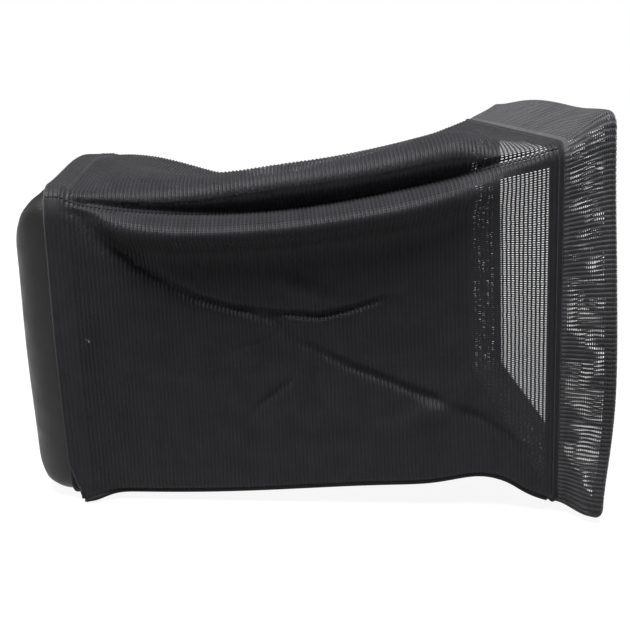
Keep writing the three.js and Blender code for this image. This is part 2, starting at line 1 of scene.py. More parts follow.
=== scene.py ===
"""A mower's grass collection bag on its side: knitted see-through walls, dense dust
cloth, a doubled collar over a bent tube, and a grained moulded tray. Metres, +Z up."""
import math

import bmesh
import bpy
import numpy as np
from mathutils import Matrix, Vector


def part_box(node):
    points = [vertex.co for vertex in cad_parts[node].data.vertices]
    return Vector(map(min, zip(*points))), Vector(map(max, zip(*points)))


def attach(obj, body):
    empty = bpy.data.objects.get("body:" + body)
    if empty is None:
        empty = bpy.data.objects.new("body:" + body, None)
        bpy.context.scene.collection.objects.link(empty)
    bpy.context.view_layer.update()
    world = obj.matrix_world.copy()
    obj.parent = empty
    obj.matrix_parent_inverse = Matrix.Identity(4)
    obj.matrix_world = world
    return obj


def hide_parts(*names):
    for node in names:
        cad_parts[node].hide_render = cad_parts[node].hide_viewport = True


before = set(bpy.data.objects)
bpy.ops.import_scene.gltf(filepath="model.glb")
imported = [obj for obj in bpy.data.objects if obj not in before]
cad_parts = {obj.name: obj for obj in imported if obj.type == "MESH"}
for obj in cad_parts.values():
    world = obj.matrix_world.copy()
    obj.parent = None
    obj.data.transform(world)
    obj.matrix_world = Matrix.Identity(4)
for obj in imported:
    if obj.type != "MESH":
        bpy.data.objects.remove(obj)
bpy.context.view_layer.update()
MM = 0.001

# Sizes in millimetres and degrees, most of them those of the CAD model
BODY_LENGTH = 503
COLLAR_LENGTH = 48
HEM_WIDTH = 394
HEM_HEIGHT = 317
HEM_CORNER = 28
HEM_CROWN = {"near": 6, "top": 11, "far": 6, "bottom": 0}
HEM_LEAN = 2
HEM_TURN = 3
HEM_BAND = 14
HEM_THICKNESS = 3.4
HEM_COVER = HEM_BAND / BODY_LENGTH  # cloth over the hem, as a share of the body
HEM_GAP = 0.5  # outside of the hem to the cloth over it
HEM_DRAWN_BACK = 0.85  # share of that cloth missing at the near bottom corner
SEAM_WIDTH = 440
SEAM_HEIGHT = 363
SEAM_CORNER = 16
SEAM_LIFT = 9
SEAM_LEAN = 4.3
MOUTH_LEAN = 4.8
MOUTH_WIDTH = 468
MOUTH_HEIGHT = 401
MOUTH_CORNER = 18
MOUTH_CROWN = {"near": 15, "top": 7, "far": 0, "bottom": 0}
TUBE_RADIUS = 5
CLEARANCE = 0.3
CLOTH = 1.6
SEAM_BEAD = 2.6
TUBE_INSET = 8.34  # outline of the mouth to the middle of the tube
TUBE_FOOT = 8.74  # height of the tube's lowest stretch up the plane of the mouth
TRAY_DEPTH = 38
TRAY_WALL = 2.6
TRAY_DRAFT = 2
TRAY_TOP_DROP = 15  # fall of the top from the open edge to the end face
TRAY_END_CORNER = 14
TRAY_EDGE_RADIUS = 38
TRAY_RIM = 13  # hem plane to the open edge
TRAY_SHARP_ANGLE = 40
PANEL_MARGIN = 32
PANEL_DEPTH = 5
PANEL_CORNER = 18
GRIP_RIBS = 7
GRIP_RIB_WIDTH = 5
GRIP_RIB_HEIGHT = 3
GRIP_RIB_PITCH = 26
GRIP_RIB_INSET = 20
INNER_RIB_HEIGHT = 12
INNER_RIB_THICKNESS = 2.2
INNER_RIB_REACH = 34  # panel edge to the end of a rib
INNER_RIBS_UPRIGHT = 3
INNER_RIBS_LEVEL = 2

# Fall of the long edges, and folds and bulges of the walls
TOP_NEAR_SAG = 32
TOP_NEAR_TUCK = 24
TOP_FAR_SAG = 46
TOP_FAR_SAG_AT = 0.4
BOTTOM_NEAR_LIFT = 38
BOTTOM_NEAR_DROOP = 5.5  # slack beside the tray: fall and reach
BOTTOM_NEAR_DROOP_OUT = 13
BOTTOM_NEAR_DROOP_AT = 0.008
BOTTOM_NEAR_DROOP_WIDTH = 0.042
BOTTOM_NEAR_DROOP_SPREAD = {"near": 0.12, "bottom": 0.058}  # how far up a wall it is felt
BOTTOM_NEAR_PUCKER = 14
BOTTOM_NEAR_PUCKER_AT = 0.86
BOTTOM_NEAR_PUCKER_WIDTH = 0.09
BOTTOM_FAR_LIFT = 10
BOTTOM_FAR_TUCK = 32
ROLL_HEIGHT = 27
ROLL_AT = 0.93
ROLL_WIDTH = 0.05
BULGE_HEIGHT = 37
BULGE_CREST = 0.18
BULGE_START = 0.008
BULGE_END = 0.6
BULGE_OUT = 38
BULGE_FRONT = 0.11
NEAR_HOLLOW = 14
TOP_HOLLOW = 10
FAR_HOLLOW = 8
BOTTOM_RISE = 6
GROOVE = 4.5
GROOVE_WIDTH = 6
SEAM_ROLL = 2.8  # radius of a long seam
TUCKED_ROLL = 0.9  # the same for the near top seam, which lies in the groove
TUCKED_TRIM = 0.7  # edge of a wall to the middle of that seam
ALLOWANCE_THICKNESS = 0.9

# How far the frame of the mouth is bent out of its plane and outline
BEND_BACK = 11
BEND_OUT = 14
BEND_IN = 3
BEND_NEAR_TOP = 4
BEND_FAR_TOP = 3.5

# Sizes of the knit, in millimetres
RIB_PITCH = 4.15
RIB_SHARE = 0.46
COURSE_PITCH = 2.15
TOP_COURSE_PITCH = 2.65
THREAD_SHARE = 0.72
RIB_LIFT = 0.9
LOOP_LIFT = 0.12  # rise and fall of a rib from course to course
RIB_WANDER = 0.05  # sideways drift of a rib, as a share of its pitch
SOLID_COLUMNS = 15  # columns of points without holes, over the hem
COLLAR_RIB_PITCH = 4.4
COLLAR_COURSES = 29
COLLAR_THREAD_SHARE = 0.6
COLLAR_STANDOFF = 0.9  # tube to cloth
COLLAR_TURN = 14  # cloth of a layer round the tube
COLLAR_FLAT_SHARE = 0.78  # share of a layer between the seam and the tube
COLLAR_END_ANGLE = -15
LINING_ASIDE = 0.0009  # wander of the lining round the mouth, as a share
LINING_SHIFT = 0.011  # the same across the collar


# Planes and outlines across the bag


class Plane:
    """A plane across the bag, leaning back and turned; at() takes y across, h up and a along."""

    def __init__(self, x, z, lean, turn=0.0):
        tilt, spin = math.radians(lean), math.radians(turn)
        self.origin = np.array([x, MIDDLE_Y, z])
        self.across = np.array([-math.sin(spin), math.cos(spin), 0.0])
        self.ahead = np.array([math.cos(spin), math.sin(spin), 0.0])
        self.up = -math.sin(tilt) * self.ahead + np.array([0.0, 0.0, math.cos(tilt)])
        self.normal = math.cos(tilt) * self.ahead + np.array([0.0, 0.0, math.sin(tilt)])

    def at(self, y, h, a=0.0):
        y, h, a = np.broadcast_arrays(*(np.asarray(t, float) for t in (y, h, a)))
        return (self.origin + y[..., None] * self.across + h[..., None] * self.up
                + a[..., None] * self.normal)


SIDES = {
    "near": ((-1, 0), (0, 1)),
    "top": ((0, 1), (1, 0)),
    "far": ((1, 0), (0, -1)),
    "bottom": ((0, -1), (-1, 0)),
}
NAMES = list(SIDES)
FLAT = dict.fromkeys(SIDES, 0)


class Outline:
    """Four sides, each from the middle of one corner to the middle of the next."""

    def __init__(self, width, height, corner, crown=FLAT, middle=None):
        self.width, self.height, self.corner, self.crown = width, height, corner, crown
        self.middle = height / 2 if middle is None else middle

    def point(self, name, v):
        (oy, oh), (ty, th) = SIDES[name]
        v = np.asarray(v, float)
        half, reach = (self.width / 2, self.height / 2) if oh else (self.height / 2, self.width / 2)
        arc = self.corner * math.pi / 4
        straight = 2 * (half - self.corner)
        s = v * (straight + 2 * arc)
        turn = np.where(s < arc, (s - arc) / self.corner, 0.0)
        turn = np.where(s > arc + straight, (s - arc - straight) / self.corner, turn)
        slide = np.clip(s - arc - straight / 2, -straight / 2, straight / 2)
        crown = self.crown[name] * np.sin(math.pi * np.clip(v, 0, 1)) ** 2
        o = reach - self.corner + self.corner * np.cos(turn) + crown
        t = slide + self.corner * np.sin(turn)
        y = oy * o + ty * t
        h = self.middle + oh * o + th * t
        return y, h, oy * np.cos(turn) + ty * np.sin(turn), oh * np.cos(turn) + th * np.sin(turn)

    def length(self, name):
        half = self.width / 2 if SIDES[name][0][1] else self.height / 2
        return 2 * (half - self.corner) + self.corner * math.pi / 2


hem_outline = Outline(HEM_WIDTH, HEM_HEIGHT, HEM_CORNER, HEM_CROWN)
seam_outline = Outline(SEAM_WIDTH, SEAM_HEIGHT, SEAM_CORNER)
tube_outline = Outline(
    MOUTH_WIDTH - 2 * TUBE_INSET,
    MOUTH_HEIGHT - 2 * TUBE_INSET,
    MOUTH_CORNER - TUBE_INSET,
    MOUTH_CROWN,
    MOUTH_HEIGHT / 2,
)

# The place of the bag along X and Y is read off the tube, whose foot lies furthest along X.
TUBE_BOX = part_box("mouth_frame")
MIDDLE_Y = float(TUBE_BOX[1][1]) / MM - (MOUTH_WIDTH / 2 - TUBE_INSET + TUBE_RADIUS)
MOUTH_X = float(TUBE_BOX[1][0]) / MM - TUBE_RADIUS * math.cos(math.radians(MOUTH_LEAN))
MOUTH_X += TUBE_FOOT * math.sin(math.radians(MOUTH_LEAN))
HEM_X = MOUTH_X - BODY_LENGTH - COLLAR_LENGTH
hem_plane = Plane(HEM_X, HEM_THICKNESS / 2, HEM_LEAN, HEM_TURN)
seam_plane = Plane(HEM_X + BODY_LENGTH, SEAM_LIFT, SEAM_LEAN)
mouth_plane = Plane(MOUTH_X, 0, MOUTH_LEAN)


# The four walls


def arch(u):
    return np.sin(math.pi * np.clip(u, 0, 1))


def smooth(t):
    t = np.clip(t, 0, 1)
    return t * t * (3 - 2 * t)


def hump(t, centre, width):
    return np.exp(-(((t - centre) / width) ** 2))


def hang(u):
    u = np.clip(u, 0, 1)
    late = 1 - ((u - TOP_FAR_SAG_AT) / (1 - TOP_FAR_SAG_AT)) ** 2
    return np.where(u < TOP_FAR_SAG_AT, smooth(u / TOP_FAR_SAG_AT) ** 1.2, late)


def bulge(u, v):
    """The roll of the top wall over its near seam: how far it stands out and rises."""
    grow = (0.25 * smooth(u / 0.12) + 0.75 * smooth(u / 0.5)) * smooth((1 - u) / 0.22)
    start = v - BULGE_START
    out = np.sin(math.pi / 2 * np.clip(start / (BULGE_FRONT - BULGE_START), 0, 1)) ** 0.8
    out = out * smooth((BULGE_END - v) / (BULGE_END - BULGE_FRONT))
    rise = np.sin(math.pi / 2 * np.clip(start / (BULGE_CREST - BULGE_START), 0, 1)) ** 1.2
    rise = rise * smooth((BULGE_END - v) / (BULGE_END - BULGE_CREST))
    return BULGE_OUT * grow * out, BULGE_HEIGHT * grow * rise


def start_at(name, v):
    y, h, _, _ = hem_outline.point(name, v)
    return hem_plane.at(y, h, HEM_BAND + CLEARANCE)


def end_at(name, v):
    y, h, _, _ = seam_outline.point(name, v)
    return seam_plane.at(y, h, -(SEAM_BEAD + CLEARANCE))


def seam_shift(name, u):
    zero = np.zeros_like(u)
    if name == "near":
        pucker = hump(u, BOTTOM_NEAR_PUCKER_AT, BOTTOM_NEAR_PUCKER_WIDTH) * smooth((1 - u) / 0.1)
        lift = BOTTOM_NEAR_LIFT * arch(u) * u ** 2 + BOTTOM_NEAR_PUCKER * pucker
        return np.stack([zero, zero, lift], -1)
    if name == "top":
        sag = TOP_NEAR_SAG * arch(np.clip(u, 0, 1) ** 0.85)
        return np.stack([zero, TOP_NEAR_TUCK * arch(u), -sag], -1)
    if name == "far":
        return np.stack([zero, zero, -TOP_FAR_SAG * hang(u)], -1)
    return np.stack([zero, -BOTTOM_FAR_TUCK * arch(u), BOTTOM_FAR_LIFT * arch(u)], -1)


def long_edge(name, u):
    u = np.asarray(u, float)
    w = u[..., None]
    return start_at(name, 0.0) * (1 - w) + end_at(name, 0.0) * w + seam_shift(name, u)


def slack(name, u, v):
    """Loose cloth beside the tray, near the bottom seam, that falls to the floor."""
    if name not in BOTTOM_NEAR_DROOP_SPREAD:
        return np.zeros(np.shape(u) + (3,))
    droop = hump(u, BOTTOM_NEAR_DROOP_AT, BOTTOM_NEAR_DROOP_WIDTH) * smooth((u + 0.034) / 0.03)
    away = v if name == "near" else 1 - v
    droop = droop * np.clip(1 - away / BOTTOM_NEAR_DROOP_SPREAD[name], 0, 1) ** 2
    return np.stack([droop * 0, -BOTTOM_NEAR_DROOP_OUT * droop, -BOTTOM_NEAR_DROOP * droop], -1)


def over_hem(name, u, v):
    """The cloth runs on over the hem to the edge of the tray, a little further out."""
    _, _, ny, nh = hem_outline.point(name, v)
    outward = np.asarray(ny)[..., None] * hem_plane.across + np.asarray(nh)[..., None] * hem_plane.up
    out = (HEM_THICKNESS / 2 + HEM_GAP) * smooth((0.016 - u) / 0.018)
    along = np.minimum(u, 0) * BODY_LENGTH
    if name == "near":
        along = along * (1 - HEM_DRAWN_BACK * smooth((0.13 - v) / 0.13))
    if name == "bottom":
        along = along * (1 - HEM_DRAWN_BACK * smooth((v - 0.9) / 0.1))
    return out[..., None] * outward + along[..., None] * hem_plane.normal


def groove(name, u, v):
    """Both walls turn in towards the seam along the near top edge, so it lies out of sight."""
    if name not in ("near", "top"):
        return np.zeros(np.shape(u) + (3,))
    away = (1 - v) * SEAM_HEIGHT if name == "near" else v * SEAM_WIDTH
    depth = GROOVE * np.exp(-((away / GROOVE_WIDTH) ** 2)) * smooth(u / 0.04) * smooth((1 - u) / 0.06)
    return depth[..., None] * np.array([0.0, 0.75, -0.66])


def crease(u, v, route, width):
    """A soft line of height 1 along a route of (u, v) points, fading at its ends."""
    best = np.full(np.broadcast(u, v).shape, 1e9)
    along = np.zeros_like(best)
    spans = [math.dist(a, b) for a, b in zip(route, route[1:])]
    total = sum(spans)
    run = 0.0
    for (a, b), span in zip(zip(route, route[1:]), spans):
        du, dv = b[0] - a[0], b[1] - a[1]
        t = np.clip(((u - a[0]) * du + (v - a[1]) * dv) / (span * span), 0, 1)
        off = np.hypot(u - a[0] - t * du, v - a[1] - t * dv)
        closer = off < best
        best = np.where(closer, off, best)
        along = np.where(closer, (run + t * span) / total, along)
        run += span
    return np.exp(-((best / width) ** 2)) * np.sin(math.pi * (0.1 + 0.8 * along)) ** 0.8


# Creases of the near wall: route, width as a share of the wall, height in mm
NEAR_CREASES = [
    ([(0.02, 0.985), (0.06, 0.93), (0.11, 0.86), (0.17, 0.78)], 0.03, -9.0),
    ([(0.15, 0.8), (0.26, 0.70), (0.36, 0.645), (0.43, 0.60)], 0.015, -5.5),
    ([(0.36, 0.655), (0.43, 0.63), (0.52, 0.605), (0.6, 0.62), (0.68, 0.65)], 0.014, -5.5),
    ([(0.42, 0.62), (0.48, 0.52), (0.58, 0.42), (0.66, 0.36), (0.76, 0.28), (0.86, 0.19),
      (0.95, 0.13)], 0.016, -5.0),
    ([(0.5, 0.46), (0.505, 0.38), (0.515, 0.29)], 0.014, -4.0),
    ([(0.47, 0.41), (0.41, 0.34), (0.36, 0.28)], 0.014, -3.5),
    ([(0.3, 0.5), (0.38, 0.53), (0.45, 0.58)], 0.016, -2.5),
    ([(0.45, 0.74), (0.51, 0.68), (0.56, 0.645)], 0.028, 4.0),
    ([(0.62, 0.16), (0.72, 0.235), (0.83, 0.27)], 0.032, 5.0),
    ([(0.3, 0.14), (0.45, 0.2), (0.58, 0.16)], 0.045, 3.0),
    ([(0.88, 0.75), (0.9, 0.5), (0.86, 0.3)], 0.03, 2.5),
]


def relief(name, u, v):
    if name == "near":
        out = -NEAR_HOLLOW * arch(u) * arch(v)
        out = out + ROLL_HEIGHT * smooth(4 * u) * smooth(3 * (1 - u)) * hump(v, ROLL_AT, ROLL_WIDTH)
        for route, width, height in NEAR_CREASES:
            out = out + height * crease(u, v, route, width)
        return out
    if name == "top":
        return -TOP_HOLLOW * arch(u) * arch(v)
    if name == "far":
        return -FAR_HOLLOW * arch(u) * arch(v)
    return -BOTTOM_RISE * arch(u) * arch(v)


def wall(name, u, v):
    """Points of a wall at u from tray to collar and v across it, in millimetres."""
    u, v = np.broadcast_arrays(np.asarray(u, float), np.asarray(v, float))
    after = NAMES[(NAMES.index(name) + 1) % 4]
    cover = over_hem(name, u, v)
    u = np.maximum(u, 0)
    a, b = u[..., None], v[..., None]
    across = start_at(name, v) * (1 - a) + end_at(name, v) * a
    along = long_edge(name, u) * (1 - b) + long_edge(after, u) * b
    corners = (start_at(name, 0.0) * (1 - a) + end_at(name, 0.0) * a) * (1 - b)
    corners = corners + (start_at(after, 0.0) * (1 - a) + end_at(after, 0.0) * a) * b
    fade = np.minimum(1, np.minimum(8 * v, 22 * (1 - v)))
    (oy, oz), _ = SIDES[name]
    push = (relief(name, u, v) * fade)[..., None] * np.array([0.0, oy, oz])
    if name == "top":
        out, rise = bulge(u, v)
        push = push + np.stack([np.zeros_like(out), -out, rise], -1)
    return across + along - corners + push + slack(name, u, v) + groove(name, u, v) + cover


def wall_normal(name, u, v):
    step = 1e-3
    du = wall(name, u + step, v) - wall(name, u - step, v)
    dv = wall(name, u, v + step) - wall(name, u, v - step)
    n = np.cross(du, dv)
    n /= np.linalg.norm(n, axis=-1, keepdims=True)
    (oy, oz), _ = SIDES[name]
    flip = np.sign(n @ np.array([0.0, oy, oz]))
    return n * np.where(flip == 0, 1, flip)[..., None]


# Meshes


def make_object(name, points, quads, uvs, material):
    """An object from points in millimetres, four-sided faces and a place on the cloth for each."""
    mesh = bpy.data.meshes.new(name)
    mesh.vertices.add(len(points))
    mesh.vertices.foreach_set("co", (np.asarray(points) * MM).ravel())
    mesh.loops.add(quads.size)
    mesh.loops.foreach_set("vertex_index", quads.ravel())
    mesh.polygons.add(len(quads))
    mesh.polygons.foreach_set("loop_start", np.arange(0, quads.size, quads.shape[1]))
    mesh.polygons.foreach_set("use_smooth", np.full(len(quads), True))
    layer = mesh.uv_layers.new(name="UVMap")
    layer.data.foreach_set("uv", (np.asarray(uvs)[quads.ravel()] * MM).ravel())
    mesh.update(calc_edges=True)
    mesh.validate()
    mesh.materials.append(material)
    obj = bpy.data.objects.new(name, mesh)
    bpy.context.scene.collection.objects.link(obj)
    return obj


def dress(obj, slot, *nodes):
    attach(obj, "root")
    if nodes:
        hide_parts(*nodes)


def grid_quads(columns, rows, keep, wrap=False):
    """Faces of a columns by rows grid of points; keep(i, j) says which are there."""
    spans = columns if wrap else columns - 1
    i, j = np.meshgrid(np.arange(spans), np.arange(rows - 1), indexing="ij")
    kept = keep(i, j)
    i, j = i[kept], j[kept]
    k = (i + 1) % columns
    return np.stack([i * rows + j, k * rows + j, k * rows + j + 1, i * rows + j + 1], -1)


def knit(name, material, place, normal, ribs, courses, u_span, v_span, solid_edge, wrap=False,
         thread=THREAD_SHARE):
    """A ribbed net: raised ribs run along v, thin threads join them across open holes."""
    rng = np.random.default_rng(len(name) + ribs)
    u = np.repeat(np.arange(ribs), 3) + np.tile([0.0, RIB_SHARE / 2, RIB_SHARE], ribs)
    v = np.repeat(np.arange(courses), 2) + np.tile([0.0, thread], courses)
    v = np.append(v, courses)
    if not wrap:
        u = np.append(u, ribs)
    uu, vv = np.meshgrid(u, v, indexing="ij")
    kind = np.arange(len(u)) % 3
    wobble = rng.normal(0, RIB_WANDER, (ribs + 1, len(v)))
    drift = wobble[np.minimum(np.arange(len(u)) // 3, ribs)]
    inner = (vv > 0) & (vv < courses)
    uu = uu + np.where(inner, drift, 0) * (uu > 0) * (uu < ribs)
    points = place(uu / ribs, vv / courses)
    n = normal(uu / ribs, vv / courses)
    lift = np.where(kind == 1, RIB_LIFT, 0.0)[:, None] + np.zeros_like(vv)
    loops = LOOP_LIFT * np.cos(math.pi * np.arange(len(v)))[None, :]
    lift = lift + np.where((kind == 1)[:, None], loops, 0.0)
    points = points + n * lift[..., None]
    low, high = solid_edge

    def keep(i, j):
        hole = (i % 3 == 2) & (j % 2 == 1)
        edge = (j < 2 * low) | (j >= 2 * (courses - high))
        if not wrap:
            edge = edge | (i < SOLID_COLUMNS)
        return ~hole | edge

    quads = grid_quads(len(u), len(v), keep, wrap)
    uvs = np.stack([uu / ribs * u_span, vv / courses * v_span], -1).reshape(-1, 2)
    return make_object(name, points.reshape(-1, 3), quads, uvs, material)


# Materials


def shader(name, base, roughness, sheen=0.0, metallic=0.0, gloss=0.5):
    material = bpy.data.materials.new(name)
    material.use_nodes = True
    nodes = material.node_tree.nodes
    surface = nodes["Principled BSDF"]
    surface.inputs["Base Color"].default_value = (*base, 1)
    surface.inputs["Roughness"].default_value = roughness
    surface.inputs["Metallic"].default_value = metallic
    surface.inputs["Sheen Weight"].default_value = sheen
    surface.inputs["Sheen Roughness"].default_value = 0.4
    surface.inputs["Specular IOR Level"].default_value = gloss
    return material, nodes, material.node_tree.links, surface


def vary(nodes, links, coordinate, scale, low, high, target):
    """Drives a socket by noise between two values or colours."""
    noise = nodes.new("ShaderNodeTexNoise")
    noise.inputs["Scale"].default_value = scale
    noise.inputs["Detail"].default_value = 4
    links.new(coordinate, noise.inputs["Vector"])
    ramp = nodes.new("ShaderNodeValToRGB")
    ramp.color_ramp.elements[0].position = 0.3
    ramp.color_ramp.elements[1].position = 0.7
    ramp.color_ramp.elements[0].color = (*low, 1)
    ramp.color_ramp.elements[1].color = (*high, 1)
    links.new(noise.outputs["Fac"], ramp.inputs["Fac"])
    links.new(ramp.outputs["Color"], target)


def yarn_material(name, base, roughness, sheen, pitch, gloss=0.2):
    """Black yarn: fine filaments along the cloth, with soft changes of depth in the dye."""
    material, nodes, links, surface = shader(name, base, roughness, sheen, 0.0, gloss)
    uv = nodes.new("ShaderNodeUVMap")
    uv.uv_map = "UVMap"
    vary(nodes, links, uv.outputs["UV"], 40, tuple(0.75 * c for c in base),
         tuple(1.3 * c for c in base), surface.inputs["Base Color"])
    wave = nodes.new("ShaderNodeTexWave")
    wave.inputs["Scale"].default_value = 1 / (pitch * MM) / 20
    wave.inputs["Distortion"].default_value = 3
    wave.inputs["Detail Scale"].default_value = 4
    links.new(uv.outputs["UV"], wave.inputs["Vector"])
    bump = nodes.new("ShaderNodeBump")
    bump.inputs["Strength"].default_value = 0.4
    bump.inputs["Distance"].default_value = 0.0002
    links.new(wave.outputs["Fac"], bump.inputs["Height"])
    links.new(bump.outputs["Normal"], surface.inputs["Normal"])
    return material


def woven_material(name, base, roughness, sheen, pitch):
    """Dense cloth: a tight over-and-under weave."""
    material, nodes, links, surface = shader(name, base, roughness, sheen, 0.0, 0.2)
    uv = nodes.new("ShaderNodeUVMap")
    uv.uv_map = "UVMap"
    vary(nodes, links, uv.outputs["UV"], 25, tuple(0.8 * c for c in base),
         tuple(1.25 * c for c in base), surface.inputs["Base Color"])
    checks = nodes.new("ShaderNodeTexChecker")
    checks.inputs["Scale"].default_value = 1 / (pitch * MM)
    links.new(uv.outputs["UV"], checks.inputs["Vector"])
    bump = nodes.new("ShaderNodeBump")
    bump.inputs["Strength"].default_value = 0.5
    bump.inputs["Distance"].default_value = 0.0002
    links.new(checks.outputs["Fac"], bump.inputs["Height"])
    links.new(bump.outputs["Normal"], surface.inputs["Normal"])
    return material


def plastic_material(name, base):
    """Moulded plastic with a fine pebble grain and a roughness that changes softly from place to
    place.
    """
    material, nodes, links, surface = shader(name, base, 0.45, gloss=0.35)
    place = nodes.new("ShaderNodeTexCoord")
    coordinate = place.outputs["Object"]
    vary(nodes, links, coordinate, 9, tuple(0.85 * c for c in base),
         tuple(1.15 * c for c in base), surface.inputs["Base Color"])
    cells = nodes.new("ShaderNodeTexVoronoi")
    cells.inputs["Scale"].default_value = 900
    links.new(coordinate, cells.inputs["Vector"])
    bump = nodes.new("ShaderNodeBump")
    bump.inputs["Strength"].default_value = 0.7
    bump.inputs["Distance"].default_value = 0.0004
    links.new(cells.outputs["Distance"], bump.inputs["Height"])
    links.new(bump.outputs["Normal"], surface.inputs["Normal"])
    vary(nodes, links, coordinate, 60, (0.38,) * 3, (0.52,) * 3, surface.inputs["Roughness"])
    return material


def steel_material(name, base):
    material, nodes, links, surface = shader(name, base, 0.35, metallic=0.5)
    place = nodes.new("ShaderNodeTexCoord")
    roughness = surface.inputs["Roughness"]
    vary(nodes, links, place.outputs["Object"], 70, (0.28,) * 3, (0.45,) * 3, roughness)
    return material


MESH_CLOTH = yarn_material("ribbed_mesh", (0.0122, 0.0121, 0.0150), 0.55, 0.3, 1.0)
# The collar is the walls' yarn with a base over three times lighter: painted light that stands in for
# the brighter light on the collar.
COLLAR_CLOTH = yarn_material("collar_mesh", (0.044, 0.044, 0.048), 0.6, 1.0, 1.0)
EDGE_YARN = woven_material("edge_yarn", (0.045, 0.045, 0.05), 0.7, 0.2, 1.6)
LINT = yarn_material("lint", (0.32, 0.32, 0.31), 0.8, 0.2, 0.6)
DENSE_CLOTH = woven_material("dust_cloth", (0.012, 0.0135, 0.0175), 0.8, 0.1, 0.8)
TAPE = woven_material("binding", (0.012, 0.012, 0.014), 0.75, 0.15, 0.9)
PLASTIC = plastic_material("tray_plastic", (0.013, 0.013, 0.013))
STEEL = steel_material("frame_steel", (0.03, 0.03, 0.032))


# Walls of the body


def trimmed(name, u, v):
    after = NAMES[(NAMES.index(name) + 1) % 4]
    u = np.maximum(u, 0)
    span = np.linalg.norm(long_edge(name, u) - long_edge(after, u), axis=-1)
    low, high = (TUCKED_TRIM if name == other else SEAM_BEAD for other in ("top", "near"))
    return low / span + v * (1 - (low + high) / span)


def on_wall(share):
    """From a share of the cloth to a share of the wall, which starts below 0 over the hem."""
    return share * (1 + HEM_COVER) - HEM_COVER


def mesh_wall(name, piece, course_pitch, solid_edge, *nodes):
    length = BODY_LENGTH + HEM_BAND
    height = (hem_outline.length(name) + seam_outline.length(name)) / 2
    obj = knit(
        piece,
        MESH_CLOTH,
        lambda u, v: wall(name, on_wall(u), trimmed(name, on_wall(u), v)),
        lambda u, v: wall_normal(name, on_wall(u), trimmed(name, on_wall(u), v)),
        round(length / RIB_PITCH),
        round(height / course_pitch),
        length,
        height,
        solid_edge,
    )
    dress(obj, "ribbed_mesh", *nodes)
    return obj, length * MM, height * MM


def dense_wall(name, piece, *nodes):
    columns, rows = 150, 110
    length = BODY_LENGTH + HEM_BAND
    height = (hem_outline.length(name) + seam_outline.length(name)) / 2
    u, v = np.meshgrid(np.linspace(0, 1, columns), np.linspace(0, 1, rows), indexing="ij")
    points = wall(name, on_wall(u), trimmed(name, on_wall(u), v)).reshape(-1, 3)
    quads = grid_quads(columns, rows, lambda i, j: i >= 0)
    uvs = np.stack([u * length, v * height], -1).reshape(-1, 2)
    obj = make_object(piece, points, quads, uvs, DENSE_CLOTH)
    dress(obj, "dust_cloth", *nodes)
    return obj, length * MM, height * MM


near_wall, near_w, near_h = mesh_wall("near", "near_wall", COURSE_PITCH, (2, 0), "near_mesh_panel")
top_wall, top_w, top_h = mesh_wall("top", "top_wall", TOP_COURSE_PITCH, (0, 0), "top_mesh_panel")
far_wall, far_w, far_h = dense_wall("far", "far_wall", "far_dust_panel")
bottom_wall, bottom_w, bottom_h = dense_wall("bottom", "bottom_wall", "bottom_dust_panel")


# Collar: two layers of mesh folded over the tube


def loop_stations(outline, share):
    """Side names and places round an outline, evenly spaced by length."""
    lengths = np.array([outline.length(name) for name in NAMES])
    ends = np.cumsum(lengths)
    s = np.asarray(share) % 1.0 * ends[-1]
    side = np.searchsorted(ends, s, side="right")
    v = (s - (ends - lengths)[side]) / lengths[side]
    return side, v


def round_point(outline, plane, share, out, a):
    side, v = loop_stations(outline, share)
    y = np.zeros_like(v)
    h = np.zeros_like(v)
    ny = np.zeros_like(v)
    nh = np.zeros_like(v)
    for k, name in enumerate(NAMES):
        at = side == k
        py, ph, pny, pnh = outline.point(name, v)
        y, h = np.where(at, py, y), np.where(at, ph, h)
        ny, nh = np.where(at, pny, ny), np.where(at, pnh, nh)
    return plane.at(y + ny * out, h + nh * out, a), ny, nh


def bent(u, v):
    """The frame and its cloth are bent out at the near bottom corner and in along the near side."""
    u = np.asarray(u) % 1.0
    lip = smooth(np.asarray(v) / 0.7)
    corner = np.where(u < 0.5, hump(u, 0.0, 0.034), hump(u, 1.0, 0.08)) * lip
    drawn = smooth((u - 0.06) / 0.08) * smooth((0.3 - u) / 0.06) * lip
    far_top = hump(u, 0.5, 0.06) * lip
    near_top = hump(u, 0.24, 0.035) * lip
    lift = BEND_NEAR_TOP * near_top - BEND_FAR_TOP * far_top
    return np.stack([-BEND_BACK * corner - BEND_IN * drawn, -BEND_OUT * corner, lift], -1)


